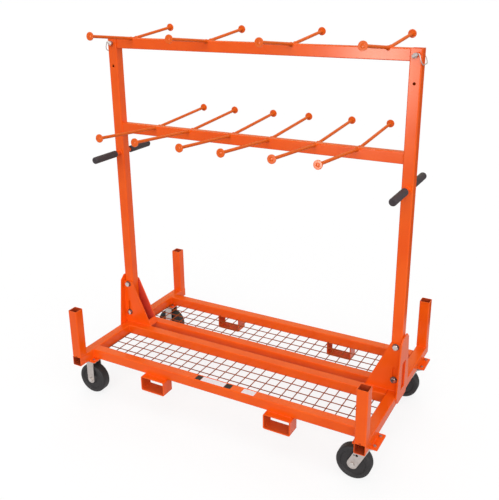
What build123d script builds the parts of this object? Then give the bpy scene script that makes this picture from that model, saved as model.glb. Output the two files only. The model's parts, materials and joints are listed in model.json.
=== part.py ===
from build123d import *
import os
from math import atan, cos, floor, hypot, radians, sin, tan

# Rolling cart that carries lengths of pipe on arms, in millimetres.
# +X runs along the cart to its swivel casters, -Y is the front and Z = 0 is the floor.

# Base frame of square tube
cart_length = 1574.8
cart_width = 965.2
tube = 50.8
tube_wall = 3.2
tube_corner = 5.0
least_corner = 0.8
end_overhang = 101.6

# Corner posts
post_height = 256.0
drain_radius = 5.0

# Fork pockets under the long rails
pocket_width = 138.0
pocket_height = 79.0
pocket_depth = 70.0
pocket_wall = 6.35
pocket_corner = 9.0
pocket_reach = 31.8
pocket_spacing = 687.0

# Welded wire deck between the rails
wire = 4.8
wire_sink = 0.6
wire_lift = 0.4
mesh_pitch = 56.6
mesh_edge_x = 7.4
mesh_edge_y = 52.0

# Uprights and the brackets that hold them
upright_height = 1549.0
upright_play = 2.0
upright_setback = 2.0
gusset_thickness = 6.35
gusset_height = 245.0
gusset_foot = 164.0
tie_height = 30.0
tie_thickness = 6.35
upper_bolt_drop = 16.0
lower_bolt_height = 58.5
slot_rise = 60.0
end_plate_thickness = 6.35
end_plate_top = 278.0
end_plate_top_half = 29.0
end_plate_shoulder = 255.0
end_plate_shoulder_half = 55.0
end_plate_hip_drop = 8.0
end_plate_hip_half = 85.0
end_plate_foot_margin = 4.8
end_plate_foot_half = 57.0
window_sill = 8.0
window_height = 136.0

# Five eighths inch bolts through the brackets
bracket_bolt = 15.875
bracket_hole_play = 0.3
bracket_washer_radius = 15.9
bracket_washer_thickness = 2.5
bracket_hex = 23.8
bracket_head = 9.9
bracket_nut = 13.7
bracket_bolt_tail = 4.0

# Cross bars and the legs of the top bar
bar_height = 50.8
bar_depth = 38.1
bar_wall = 3.0
bar_corner = 4.0
bar_play = 0.6
mid_bar_top = 1127.0
leg_play = 0.3
leg_tail = 42.0

# Pipe arms
arm_rod = 14.3
arm_weld_gap = 0.1
disc_diameter = 38.1
disc_thickness = 6.0
top_arm_count = 4
top_arm_inset = 92.0
top_arm_reach = 315.0
top_arm_root_drop = 2.5
top_arm_end_rise = 30.0
mid_arm_inset = 205.5
mid_arm_step = 196.0
mid_arm_inner = 101.0
mid_arm_reach = 439.0
mid_arm_root_drop = 8.0
mid_arm_end_rise = 22.0

# Push handles
handle_height = 971.0
handle_rod = 22.2
handle_hole_play = 0.15
grip_start = 57.0
grip_length = 165.0
grip_diameter = 34.5
grip_end = 6.0
grip_round = 5.0
grip_bore_play = 0.05

# Lock pins and their wire bails
pin_diameter = 12.7
pin_play = 0.1
pin_tip_reach = 37.0
pin_tip_chamfer = 2.0
spare_hole_drop = 112.0
collar_diameter = 20.0
collar_thickness = 7.0
collar_gap = 0.3
barrel_diameter = 15.0
barrel_length = 24.0
bail_wire = 4.0
bail_bore_play = 0.05
bail_tilt = 62.0
bail_gap = 4.6
bail_pivot_end = 19.0
bail_pivot_bend = 5.0
bail_side = 9.0
bail_front_bend = 24.0
bail_rear_gap = 36.0
bail_rear_bend = 36.0
bail_tail = 2.0

# Caster mount plates and their bolts
mount_plate_thickness = 6.35
mount_plate_edge_x = 17.9
mount_plate_edge_y = 20.4
plate_corner = 3.0
caster_bolt = 7.9
caster_bolt_hole_play = 0.4
caster_hex = 12.7
caster_nut = 6.8
caster_bolt_tail = 0.6
caster_head_gap = 5.4
caster_rail_gap = 0.6

# Wheels
wheel_diameter = 160.0
wheel_width = 50.8
wheel_side_gap = 2.5
tread_round = 9.0
rim_depth = 19.0
web_recess = 6.0
web_slope = 5.0
hub_radius = 24.0
bush_radius = 9.5
bush_press = 0.02
bush_end_gap = 0.3
axle = 12.7
axle_play = 0.05
axle_hole_play = 0.1
axle_hex = 19.05
axle_head = 8.0
axle_nut = 10.0
axle_tail = 3.0

# Caster forks
caster_plate_thickness = 5.0
caster_plate_edge = 12.7
leg_thickness = 5.0
rigid_leg_width = 42.0
swivel_leg_width = 48.0
axle_trail = 60.0
leg_set_back = 7.5
tread_gap = 23.4
crown_thickness = 6.0
crown_lip = 11.0
sight_hole = 12.0
sight_hole_offset = 5.0
pilot_hole = 7.0
pilot_hole_offset = 16.0
leg_hole_height = 49.5

# Swivel bearing
race_height = 4.7
race_gap = 0.6
race_width = 13.0
race_radius = 27.0
ball_diameter = 8.0
ball_play = 0.1
ball_count = 16
kingpin = 16.0
kingpin_play = 0.05
kingpin_head_radius = 14.0
kingpin_head = 6.0
kingpin_head_gap = 0.3

# Heights that follow from the wheels and the swivel bearing
wheel_radius = wheel_diameter / 2
crown_bottom = wheel_diameter + tread_gap
crown_top = crown_bottom + crown_thickness
ball_z = crown_top + race_height + race_gap / 2
caster_plate_bottom = crown_top + 2 * race_height + race_gap
caster_top = caster_plate_bottom + caster_plate_thickness
rail_bottom = caster_top + mount_plate_thickness
rail_mid = rail_bottom + tube / 2
rail_top = rail_bottom + tube

# Places of the base frame
end_rail_x = (cart_length - tube) / 2
deck_length = cart_length - 2 * tube
long_rail_y = cart_width / 2 - end_overhang - tube / 2
channel = tube + 2 * upright_play
inner_rail_y = (channel + tube) / 2
deck_opening = long_rail_y - inner_rail_y - tube
post_y = (cart_width - tube) / 2

# Places of the uprights and what they carry
upright_x = cart_length / 2 - upright_setback - tube / 2
upright_top = rail_top + upright_height
upper_bolt_z = rail_top + gusset_height - upper_bolt_drop
lower_bolt_z = rail_top + lower_bolt_height
gusset_face = channel / 2 + gusset_thickness
top_bar_z = upright_top - bar_height / 2
mid_bar_z = rail_top + mid_bar_top - bar_height / 2
mid_bar_half = upright_x - tube / 2
handle_z = rail_top + handle_height
pin_z = top_bar_z
spare_hole_z = pin_z - spare_hole_drop
leg_size = tube - 2 * tube_wall - 2 * leg_play
leg_length = bar_height / 2 + spare_hole_drop + leg_tail
top_bar_half = upright_x - leg_size / 2
collar_face = tube / 2 + collar_gap
barrel_y = collar_face + collar_thickness + barrel_diameter / 2

# Caster layout shared by plates, bolts and forks
caster_hex_corner = caster_hex / 2 / cos(radians(30))
caster_bolt_spread = tube + 2 * (caster_head_gap + caster_hex_corner)
caster_bolt_hole = caster_bolt / 2 + caster_bolt_hole_play
caster_head = wire - wire_sink
caster_y = long_rail_y + caster_head_gap - caster_rail_gap
leg_inner = wheel_width / 2 + wheel_side_gap
leg_outer = leg_inner + leg_thickness
bush_half = leg_inner - bush_end_gap
casters = [(side, face) for side in (-1, 1) for face in (-1, 1)]
side_names = {-1: "left", 1: "right"}
face_names = {-1: "front", 1: "rear"}

os.makedirs("parts", exist_ok=True)


def keep(piece, node):
    """Label a finished sub-part and write it under its name."""
    piece.part.label = node
    export_step(piece.part, f"parts/{node}.step")


def tube_section(width, height, wall, corner):
    """Draw a hollow section with rounded corners in the open sketch."""
    RectangleRounded(width, height, corner)
    inner = max(corner - wall, least_corner)
    RectangleRounded(width - 2 * wall, height - 2 * wall, inner, mode=Mode.SUBTRACT)


def hexagon(across_flats):
    """Draw a hexagon of the given wrench size in the open sketch."""
    RegularPolygon(across_flats / 2, 6, major_radius=False)


def upright_plane(face, distance):
    """Plane facing front (face -1) or rear (face 1) at a distance from the cart's middle."""
    return Plane.XZ.offset(distance) if face < 0 else Plane.XZ.offset(-distance)


# End rails, open at both ends
for side, side_name in side_names.items():
    with BuildPart() as end_rail:
        with BuildSketch(Plane.XZ):
            with Locations((side * end_rail_x, rail_mid)):
                tube_section(tube, tube, tube_wall, tube_corner)
        extrude(amount=cart_width / 2, both=True)
    keep(end_rail, f"{side_name}_end_rail")

# Long rails: two outside, two beside the middle channel
for face, face_name in face_names.items():
    for node, y in ((f"{face_name}_rail", long_rail_y), (f"{face_name}_inner_rail", inner_rail_y)):
        with BuildPart() as long_rail:
            with BuildSketch(Plane.YZ):
                with Locations((face * y, rail_mid)):
                    tube_section(tube, tube, tube_wall, tube_corner)
            extrude(amount=deck_length / 2, both=True)
        keep(long_rail, node)

# Corner posts, open at the top, with a drain notch at the foot
for side, face in casters:
    with BuildPart() as post:
        with BuildSketch(Plane.XY.offset(rail_top)):
            with Locations((side * end_rail_x, face * post_y)):
                tube_section(tube, tube, tube_wall, tube_corner)
        extrude(amount=post_height)
        with BuildSketch(upright_plane(face, post_y)):
            with Locations((side * end_rail_x, rail_top)):
                Circle(drain_radius)
        extrude(amount=-face * tube, mode=Mode.SUBTRACT)
    keep(post, f"{face_names[face]}_{side_names[side]}_post")

# Fork pockets welded under the outer rails
for face, face_name in face_names.items():
    with BuildPart() as fork_pockets:
        with BuildSketch(upright_plane(face, long_rail_y + tube / 2 + pocket_reach)):
            with GridLocations(pocket_spacing, 1, 2, 1):
                with Locations((0, rail_bottom - pocket_height / 2)):
                    tube_section(pocket_width, pocket_height, pocket_wall, pocket_corner)
        extrude(amount=face * pocket_depth)
    keep(fork_pockets, f"{face_name}_fork_pockets")

# Wire decks: long wires clear of the caster bolts, cross wires welded on top and over the bolt heads
long_wire_z = rail_bottom + wire_lift + wire / 2
cross_wire_z = long_wire_z + wire - wire_sink
bolt_strip = caster_rail_gap + 2 * caster_hex_corner + wire
long_wire_count = floor((deck_opening - mesh_edge_y - bolt_strip) / mesh_pitch) + 1
cross_wire_count = floor((deck_length - mesh_edge_x - wire) / mesh_pitch) + 1
cross_wire_places = [
    (mesh_edge_x - deck_length / 2 + k * mesh_pitch, cross_wire_z) for k in range(cross_wire_count)
]
deck_backs = {"front": -inner_rail_y - tube / 2, "rear": long_rail_y - tube / 2}
for face_name, deck_back in deck_backs.items():
    long_wire_places = [
        (deck_back - mesh_edge_y - k * mesh_pitch, long_wire_z) for k in range(long_wire_count)
    ]
    with BuildPart() as deck_mesh:
        with BuildSketch(Plane.YZ):
            with Locations(*long_wire_places):
                Circle(wire / 2)
        extrude(amount=deck_length / 2, both=True)
        with BuildSketch(Plane.XZ.offset(-deck_back)):
            with Locations(*cross_wire_places):
                Circle(wire / 2)
        extrude(amount=deck_opening)
    keep(deck_mesh, f"{face_name}_deck_mesh")

# Gussets beside each upright, slotted above the lower bolt
gusset_top_x = upright_x - tube / 2
gusset_foot_x = cart_length / 2 - gusset_foot
for side, face in casters:
    with BuildPart() as gusset:
        with BuildSketch(upright_plane(face, channel / 2)):
            Polygon(
                (side * cart_length / 2, rail_top),
                (side * cart_length / 2, rail_top + gusset_height),
                (side * gusset_top_x, rail_top + gusset_height),
                (side * gusset_foot_x, rail_top),
                align=None,
            )
            with Locations((side * upright_x, upper_bolt_z)):
                Circle(bracket_bolt / 2 + bracket_hole_play, mode=Mode.SUBTRACT)
            with Locations((side * upright_x, lower_bolt_z + slot_rise / 2)):
                SlotCenterToCenter(
                    slot_rise,
                    bracket_bolt + 2 * bracket_hole_play,
                    rotation=90,
                    mode=Mode.SUBTRACT,
                )
        extrude(amount=-face * gusset_thickness)
    keep(gusset, f"{side_names[side]}_{face_names[face]}_gusset")

# Sloped ties between the feet of each pair of gussets
slope = (gusset_top_x - gusset_foot_x) / gusset_height
tie_run = tie_thickness * hypot(1, slope)
with BuildPart() as gusset_ties:
    with BuildSketch(Plane.XZ):
        for side in side_names:
            Polygon(
                (side * gusset_foot_x, rail_top),
                (side * (gusset_foot_x + tie_run), rail_top),
                (side * (gusset_foot_x + tie_run + slope * tie_height), rail_top + tie_height),
                (side * (gusset_foot_x + slope * tie_height), rail_top + tie_height),
                align=None,
            )
    extrude(amount=channel / 2, both=True)
keep(gusset_ties, "gusset_ties")

# End plates with a window for the foot of the upright
for side, side_name in side_names.items():
    with BuildPart() as end_plate:
        with BuildSketch(Plane.YZ.offset(side * cart_length / 2)):
            outline = [
                (end_plate_top_half, end_plate_top),
                (end_plate_shoulder_half, end_plate_shoulder),
                (end_plate_hip_half, -end_plate_hip_drop),
                (end_plate_foot_half, end_plate_foot_margin - tube),
            ]
            right_half = [(y, rail_top + z) for y, z in outline]
            left_half = [(-y, z) for y, z in reversed(right_half)]
            Polygon(*right_half, *left_half, align=None)
            with Locations((0, rail_top + window_sill + window_height / 2)):
                Rectangle(channel, window_height, mode=Mode.SUBTRACT)
        extrude(amount=side * end_plate_thickness)
    keep(end_plate, f"{side_name}_end_plate")

# Uprights, notched at the top for the top bar and drilled along Y
for side, side_name in side_names.items():
    with BuildPart() as upright:
        with BuildSketch(Plane.XY.offset(rail_top)):
            with Locations((side * upright_x, 0)):
                tube_section(tube, tube, tube_wall, tube_corner)
        extrude(amount=upright_height)
        with BuildSketch(Plane.XZ):
            with Locations((side * upright_x, pin_z), (side * upright_x, spare_hole_z)):
                Circle(pin_diameter / 2 + pin_play)
            with Locations((side * upright_x, upper_bolt_z), (side * upright_x, lower_bolt_z)):
                Circle(bracket_bolt / 2 + bracket_hole_play)
            with Locations((side * upright_x, handle_z)):
                Circle(handle_rod / 2 + handle_hole_play)
        extrude(amount=tube, both=True, mode=Mode.SUBTRACT)
        with BuildSketch(Plane.YZ.offset(side * upright_x)):
            with Locations((0, top_bar_z)):
                Rectangle(bar_depth + 2 * bar_play, bar_height + 2 * bar_play)
        extrude(amount=-side * tube, mode=Mode.SUBTRACT)
    keep(upright, f"{side_name}_upright")

# Middle bar between the uprights
with BuildPart() as mid_bar:
    with BuildSketch(Plane.YZ):
        with Locations((0, mid_bar_z)):
            tube_section(bar_depth, bar_height, bar_wall, bar_corner)
    extrude(amount=mid_bar_half, both=True)
keep(mid_bar, "mid_bar")

# Slopes and places of the arms
top_arm_first = mid_bar_half - top_arm_inset
top_arm_pitch = 2 * top_arm_first / (top_arm_count - 1)
top_arm_xs = [k * top_arm_pitch - top_arm_first for k in range(top_arm_count)]
mid_arm_outer = mid_bar_half - mid_arm_inset
mid_arm_half_xs = [mid_arm_inner, mid_arm_outer - mid_arm_step, mid_arm_outer]
mid_arm_xs = [side * x for side in side_names for x in mid_arm_half_xs]
top_arm_root_z = upright_top - top_arm_root_drop
top_arm_run = top_arm_reach - disc_thickness / 2
top_arm_climb = top_arm_end_rise + top_arm_root_drop
mid_arm_root_z = rail_top + mid_bar_top - mid_arm_root_drop
mid_arm_run = mid_arm_reach - disc_thickness / 2 - bar_depth / 2
mid_arm_climb = mid_arm_end_rise + mid_arm_root_drop

# Top bar, grooved across its top for the arms
with BuildPart() as top_bar:
    with BuildSketch(Plane.YZ):
        with Locations((0, top_bar_z)):
            tube_section(bar_depth, bar_height, bar_wall, bar_corner)
    extrude(amount=top_bar_half, both=True)
    for face in face_names:
        with BuildSketch(Plane.XZ):
            with Locations(*[(x, top_arm_root_z) for x in top_arm_xs]):
                Circle(arm_rod / 2 + arm_weld_gap)
        extrude(amount=bar_depth, dir=(0, face * top_arm_run, top_arm_climb), mode=Mode.SUBTRACT)
keep(top_bar, "top_bar")

# Legs on the ends of the top bar, sliding in the uprights
with BuildPart() as top_bar_legs:
    with BuildSketch(Plane.XY.offset(upright_top)):
        with GridLocations(2 * upright_x, 1, 2, 1):
            tube_section(leg_size, leg_size, tube_wall, tube_corner)
    extrude(amount=-leg_length)
    with BuildSketch(Plane.XZ):
        with GridLocations(2 * upright_x, 1, 2, 1):
            with Locations((0, pin_z), (0, spare_hole_z)):
                Circle(pin_diameter / 2 + pin_play)
    extrude(amount=tube, both=True, mode=Mode.SUBTRACT)
keep(top_bar_legs, "top_bar_legs")

# Arms: the top ones meet in the grooves, the middle ones are butted to the bar's faces
with BuildPart() as top_arms:
    for face in face_names:
        with BuildSketch(upright_plane(face, arm_weld_gap)):
            with Locations(*[(x, top_arm_root_z) for x in top_arm_xs]):
                Circle(arm_rod / 2)
        arm_length = hypot(top_arm_run, top_arm_climb)
        extrude(amount=arm_length, dir=(0, face * top_arm_run, top_arm_climb))
keep(top_arms, "top_arms")

with BuildPart() as mid_arms:
    for face in face_names:
        with BuildSketch(upright_plane(face, bar_depth / 2)):
            with Locations(*[(x, mid_arm_root_z) for x in mid_arm_xs]):
                Circle(arm_rod / 2)
        arm_length = hypot(mid_arm_run, mid_arm_climb)
        extrude(amount=arm_length, dir=(0, face * mid_arm_run, mid_arm_climb))
keep(mid_arms, "mid_arms")

# Stop discs on the ends of the arms
disc_rows = [
    (top_arm_xs, arm_weld_gap + top_arm_run, top_arm_root_z + top_arm_climb),
    (mid_arm_xs, bar_depth / 2 + mid_arm_run, mid_arm_root_z + mid_arm_climb),
]
with BuildPart() as arm_discs:
    for face in face_names:
        for xs, y, z in disc_rows:
            with BuildSketch(upright_plane(face, y)):
                with Locations(*[(x, z) for x in xs]):
                    Circle(disc_diameter / 2)
            extrude(amount=-face * disc_thickness)
keep(arm_discs, "arm_discs")

# Push handles: a rod through each upright, a rubber grip on each end
grip_tip = grip_start + grip_length
with BuildPart() as handle_rods:
    with BuildSketch(Plane.XZ):
        with GridLocations(2 * upright_x, 1, 2, 1):
            with Locations((0, handle_z)):
                Circle(handle_rod / 2)
    extrude(amount=grip_tip - grip_end, both=True)
keep(handle_rods, "handle_rods")

with BuildPart() as handle_grips:
    for face in face_names:
        with BuildSketch(upright_plane(face, grip_start)):
            with GridLocations(2 * upright_x, 1, 2, 1):
                with Locations((0, handle_z)):
                    Circle(grip_diameter / 2)
        extrude(amount=-face * grip_length)
    grip_ends = handle_grips.edges().filter_by(GeomType.CIRCLE)
    fillet(grip_ends, radius=grip_round)
    with BuildSketch(Plane.XZ):
        with GridLocations(2 * upright_x, 1, 2, 1):
            with Locations((0, handle_z)):
                Circle(handle_rod / 2 + grip_bore_play)
    extrude(amount=grip_tip - grip_end, both=True, mode=Mode.SUBTRACT)
keep(handle_grips, "handle_grips")

# Lock pins through the tops of the uprights, with the bail that snaps round the post
bail_reach = (tube / 2 + bail_gap - bail_side * sin(radians(bail_tilt))) / cos(radians(bail_tilt))
bail_back = barrel_y + tube / 2 + bail_rear_gap
for side, side_name in side_names.items():
    outward = Vector(side * cos(radians(bail_tilt)), 0, -sin(radians(bail_tilt)))
    across = Vector(side * sin(radians(bail_tilt)), 0, cos(radians(bail_tilt)))
    pivot = Vector(side * upright_x, -barrel_y, pin_z)
    backward = Vector(0, 1, 0)
    with BuildPart() as lock_pin:
        with BuildSketch(Plane.XZ.offset(collar_face)):
            with Locations((side * upright_x, pin_z)):
                Circle(pin_diameter / 2)
        extrude(amount=-collar_face - tube / 2 - pin_tip_reach)
        chamfer(lock_pin.edges().sort_by(Axis.Y)[-1], length=pin_tip_chamfer)
        with BuildSketch(Plane.XZ.offset(collar_face)):
            with Locations((side * upright_x, pin_z)):
                Circle(collar_diameter / 2)
        extrude(amount=collar_thickness + barrel_diameter / 2)
        with BuildSketch(Plane(origin=pivot, z_dir=across)):
            Circle(barrel_diameter / 2)
        extrude(amount=barrel_length / 2, both=True)
        with BuildSketch(Plane(origin=pivot, z_dir=across)):
            Circle(bail_wire / 2 + bail_bore_play)
        extrude(amount=barrel_length, both=True, mode=Mode.SUBTRACT)
    keep(lock_pin, f"{side_name}_lock_pin")

    with BuildPart() as lock_bail:
        with BuildLine() as bail_path:
            FilletPolyline(
                pivot - across * (barrel_length / 2),
                pivot + across * bail_pivot_end,
                pivot + across * bail_side + outward * bail_reach,
                pivot + across * bail_side + outward * bail_reach + backward * bail_back,
                pivot + across * bail_side - outward * bail_tail + backward * bail_back,
                radius=[bail_pivot_bend, bail_front_bend, bail_rear_bend],
            )
        with BuildSketch(Plane(origin=bail_path.line @ 0, z_dir=across)):
            Circle(bail_wire / 2)
        sweep()
    keep(lock_bail, f"{side_name}_lock_bail")

# Bracket bolts, heads to the front, with washers and nuts
bracket_places = [
    (side * upright_x, z) for side in side_names for z in (upper_bolt_z, lower_bolt_z)
]
bracket_seat = gusset_face + bracket_washer_thickness
with BuildPart() as bracket_bolts:
    with BuildSketch(Plane.XZ.offset(bracket_seat)):
        with Locations(*bracket_places):
            Circle(bracket_bolt / 2)
    extrude(amount=-2 * bracket_seat - bracket_nut - bracket_bolt_tail)
    with BuildSketch(Plane.XZ.offset(bracket_seat)):
        with Locations(*bracket_places):
            hexagon(bracket_hex)
    extrude(amount=bracket_head)
keep(bracket_bolts, "bracket_bolts")

with BuildPart() as bracket_washers:
    for face in face_names:
        with BuildSketch(upright_plane(face, gusset_face)):
            with Locations(*bracket_places):
                Circle(bracket_washer_radius)
                Circle(bracket_bolt / 2 + bracket_hole_play, mode=Mode.SUBTRACT)
        extrude(amount=-face * bracket_washer_thickness)
keep(bracket_washers, "bracket_washers")

with BuildPart() as bracket_nuts:
    with BuildSketch(Plane.XZ.offset(-bracket_seat)):
        with Locations(*bracket_places):
            hexagon(bracket_hex)
            Circle(bracket_bolt / 2 + bracket_hole_play, mode=Mode.SUBTRACT)
    extrude(amount=-bracket_nut)
keep(bracket_nuts, "bracket_nuts")

# Mount plates under the end rails, and the bolts that hold the casters
caster_places = [(side * end_rail_x, face * caster_y) for side, face in casters]
with BuildPart() as caster_mount_plates:
    with BuildSketch(Plane.XY.offset(caster_top)):
        with Locations(*caster_places):
            RectangleRounded(
                caster_bolt_spread + 2 * mount_plate_edge_x,
                caster_bolt_spread + 2 * mount_plate_edge_y,
                plate_corner,
            )
            with GridLocations(caster_bolt_spread, caster_bolt_spread, 2, 2):
                Circle(caster_bolt_hole, mode=Mode.SUBTRACT)
    extrude(amount=mount_plate_thickness)
keep(caster_mount_plates, "caster_mount_plates")

with BuildPart() as caster_bolts:
    with BuildSketch(Plane.XY.offset(rail_bottom)):
        with Locations(*caster_places):
            with GridLocations(caster_bolt_spread, caster_bolt_spread, 2, 2):
                Circle(caster_bolt / 2)
    extrude(amount=caster_plate_bottom - caster_nut - caster_bolt_tail - rail_bottom)
    with BuildSketch(Plane.XY.offset(rail_bottom)):
        with Locations(*caster_places):
            with GridLocations(caster_bolt_spread, caster_bolt_spread, 2, 2):
                hexagon(caster_hex)
    extrude(amount=caster_head)
keep(caster_bolts, "caster_bolts")

with BuildPart() as caster_nuts:
    with BuildSketch(Plane.XY.offset(caster_plate_bottom)):
        with Locations(*caster_places):
            with GridLocations(caster_bolt_spread, caster_bolt_spread, 2, 2):
                hexagon(caster_hex)
                Circle(caster_bolt_hole, mode=Mode.SUBTRACT)
    extrude(amount=-caster_nut)
keep(caster_nuts, "caster_nuts")

# Rigid casters at the left end
caster_plate = caster_bolt_spread + 2 * caster_plate_edge
for face, face_name in face_names.items():
    with BuildPart() as rigid_fork:
        with BuildSketch(Plane.XY.offset(caster_top)):
            with Locations((-end_rail_x, face * caster_y)):
                RectangleRounded(caster_plate, caster_plate, plate_corner)
                with GridLocations(caster_bolt_spread, caster_bolt_spread, 2, 2):
                    Circle(caster_bolt_hole, mode=Mode.SUBTRACT)
        extrude(amount=-caster_plate_thickness)
        for leg_side in face_names:
            with BuildSketch(Plane.XZ.offset(-face * caster_y - leg_side * leg_inner)):
                leg_rise = caster_plate_bottom - wheel_radius
                with Locations((-end_rail_x, wheel_radius + leg_rise / 2)):
                    Rectangle(rigid_leg_width, leg_rise)
                with Locations((-end_rail_x, wheel_radius)):
                    Circle(rigid_leg_width / 2)
                    Circle(axle / 2 + axle_hole_play, mode=Mode.SUBTRACT)
            extrude(amount=-leg_side * leg_thickness)
    keep(rigid_fork, f"{face_name}_rigid_fork")

# Swivel casters at the right end: top plates with the upper race
with BuildPart() as swivel_plates:
    for face in face_names:
        with BuildSketch(Plane.XY.offset(caster_top)):
            with Locations((end_rail_x, face * caster_y)):
                RectangleRounded(caster_plate, caster_plate, plate_corner)
                Circle(kingpin / 2 + kingpin_play, mode=Mode.SUBTRACT)
                with GridLocations(caster_bolt_spread, caster_bolt_spread, 2, 2):
                    Circle(caster_bolt_hole, mode=Mode.SUBTRACT)
        extrude(amount=-caster_plate_thickness)
        with BuildSketch(Plane.XY.offset(caster_plate_bottom)):
            with Locations((end_rail_x, face * caster_y)):
                Circle(race_radius + race_width / 2)
                Circle(race_radius - race_width / 2, mode=Mode.SUBTRACT)
        extrude(amount=-race_height)
        with Locations((end_rail_x, face * caster_y, ball_z)):
            Torus(race_radius, ball_diameter / 2 + ball_play, mode=Mode.SUBTRACT)
keep(swivel_plates, "swivel_plates")

with BuildPart() as swivel_balls:
    for face in face_names:
        with Locations((end_rail_x, face * caster_y, ball_z)):
            with PolarLocations(race_radius, ball_count):
                Sphere(ball_diameter / 2)
keep(swivel_balls, "swivel_balls")

kingpin_head_top = crown_bottom - kingpin_head_gap
with BuildPart() as swivel_kingpins:
    with BuildSketch(Plane.XY.offset(caster_top)):
        with Locations(*[(end_rail_x, face * caster_y) for face in face_names]):
            Circle(kingpin / 2)
    extrude(amount=kingpin_head_top - caster_top)
    with BuildSketch(Plane.XY.offset(kingpin_head_top)):
        with Locations(*[(end_rail_x, face * caster_y) for face in face_names]):
            Circle(kingpin_head_radius)
    extrude(amount=-kingpin_head)
keep(swivel_kingpins, "swivel_kingpins")

# Swivel forks: crown with the lower race, and two raked legs
swivel_axle_x = end_rail_x - axle_trail
rake = atan((axle_trail - leg_set_back) / (crown_bottom - wheel_radius))
along = Vector(sin(rake), cos(rake))
square = Vector(cos(rake), -sin(rake))
axle_point = Vector(swivel_axle_x, wheel_radius)
edge_shift = square * (swivel_leg_width / 2)
leg_rise = (crown_bottom - wheel_radius) / cos(rake)
edge_gain = swivel_leg_width / 2 * tan(rake)
leg_outline = [
    axle_point - edge_shift,
    axle_point + edge_shift,
    axle_point + edge_shift + along * (leg_rise + edge_gain),
    axle_point - edge_shift + along * (leg_rise - edge_gain),
]
leg_hole_line = axle_point + Vector(leg_hole_height * tan(rake), leg_hole_height)
sight_place = leg_hole_line - Vector(sight_hole_offset / cos(rake), 0)
pilot_place = leg_hole_line - Vector(pilot_hole_offset / cos(rake), 0)
for face, face_name in face_names.items():
    with BuildPart() as swivel_fork:
        with BuildSketch(Plane.XY.offset(crown_bottom)):
            with Locations((end_rail_x, face * caster_y)):
                Circle(leg_outer + crown_lip)
                Circle(kingpin / 2 + kingpin_play, mode=Mode.SUBTRACT)
        extrude(amount=crown_thickness)
        with BuildSketch(Plane.XY.offset(crown_top)):
            with Locations((end_rail_x, face * caster_y)):
                Circle(race_radius + race_width / 2)
                Circle(race_radius - race_width / 2, mode=Mode.SUBTRACT)
        extrude(amount=race_height)
        with Locations((end_rail_x, face * caster_y, ball_z)):
            Torus(race_radius, ball_diameter / 2 + ball_play, mode=Mode.SUBTRACT)
        for leg_side in face_names:
            with BuildSketch(Plane.XZ.offset(-face * caster_y - leg_side * leg_inner)):
                Polygon(*leg_outline, align=None)
                with Locations(axle_point):
                    Circle(swivel_leg_width / 2)
                    Circle(axle / 2 + axle_hole_play, mode=Mode.SUBTRACT)
                with Locations(sight_place):
                    Circle(sight_hole / 2, mode=Mode.SUBTRACT)
                with Locations(pilot_place):
                    Circle(pilot_hole / 2, mode=Mode.SUBTRACT)
            extrude(amount=-leg_side * leg_thickness)
    keep(swivel_fork, f"{face_name}_swivel_fork")

# Wheels and their bushes
wheel_xs = {-1: -end_rail_x, 1: swivel_axle_x}
bush_bore = axle / 2 + axle_play
web_half = wheel_width / 2 - web_recess
rim_inner = wheel_radius - rim_depth
wheel_side = [
    (bush_half, bush_radius),
    (bush_half, hub_radius),
    (web_half, hub_radius + web_slope),
    (web_half, rim_inner - web_slope),
    (wheel_width / 2, rim_inner),
    (wheel_width / 2, wheel_radius),
]
wheel_outline = wheel_side + [(-offset, radius) for offset, radius in reversed(wheel_side)]
for side, face in casters:
    node = f"{face_names[face]}_{side_names[side]}_wheel"
    hub_point = Vector(wheel_xs[side], face * caster_y, wheel_radius)
    spin_axis = Axis(hub_point, (0, 1, 0))
    with BuildPart() as wheel:
        with BuildSketch(Plane(origin=hub_point, x_dir=(0, 1, 0), z_dir=(1, 0, 0))) as section:
            Polygon(*wheel_outline, align=None)
            fillet(section.vertices().group_by(Axis.Y)[-1], radius=tread_round)
        revolve(axis=spin_axis)
    keep(wheel, node)

    with BuildPart() as bush:
        with BuildSketch(Plane.XZ.offset(-face * caster_y)):
            with Locations((wheel_xs[side], wheel_radius)):
                Circle(bush_radius - bush_press)
                Circle(bush_bore, mode=Mode.SUBTRACT)
        extrude(amount=bush_half, both=True)
    keep(bush, f"{node}_bush")


def axle_bolt(x, y):
    """Draw an axle bolt, head to the front, and its nut in the open part."""
    with BuildSketch(Plane.XZ.offset(leg_outer - y)) as shank:
        with Locations((x, wheel_radius)):
            Circle(axle / 2)
    extrude(shank.sketch, amount=-2 * leg_outer - axle_nut - axle_tail)
    with BuildSketch(Plane.XZ.offset(leg_outer - y)) as head:
        with Locations((x, wheel_radius)):
            hexagon(axle_hex)
    extrude(head.sketch, amount=axle_head)
    with BuildSketch(Plane.XZ.offset(-leg_outer - y)) as nut:
        with Locations((x, wheel_radius)):
            hexagon(axle_hex)
            Circle(axle / 2 + axle_hole_play, mode=Mode.SUBTRACT)
    extrude(nut.sketch, amount=-axle_nut)


# Axle bolts
with BuildPart() as rigid_axles:
    for face in face_names:
        axle_bolt(-end_rail_x, face * caster_y)
keep(rigid_axles, "rigid_axles")

for face, face_name in face_names.items():
    with BuildPart() as swivel_axle:
        axle_bolt(swivel_axle_x, face * caster_y)
    keep(swivel_axle, f"{face_name}_swivel_axle")
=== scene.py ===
"""Looks of a pipe hanger cart: an orange tube frame on casters, with pipe arms, handles and lock pins."""

import json
from math import atan2, cos, hypot, pi, radians, sin, tan, tau

import bmesh
import bpy
from mathutils import Matrix, Vector

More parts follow.
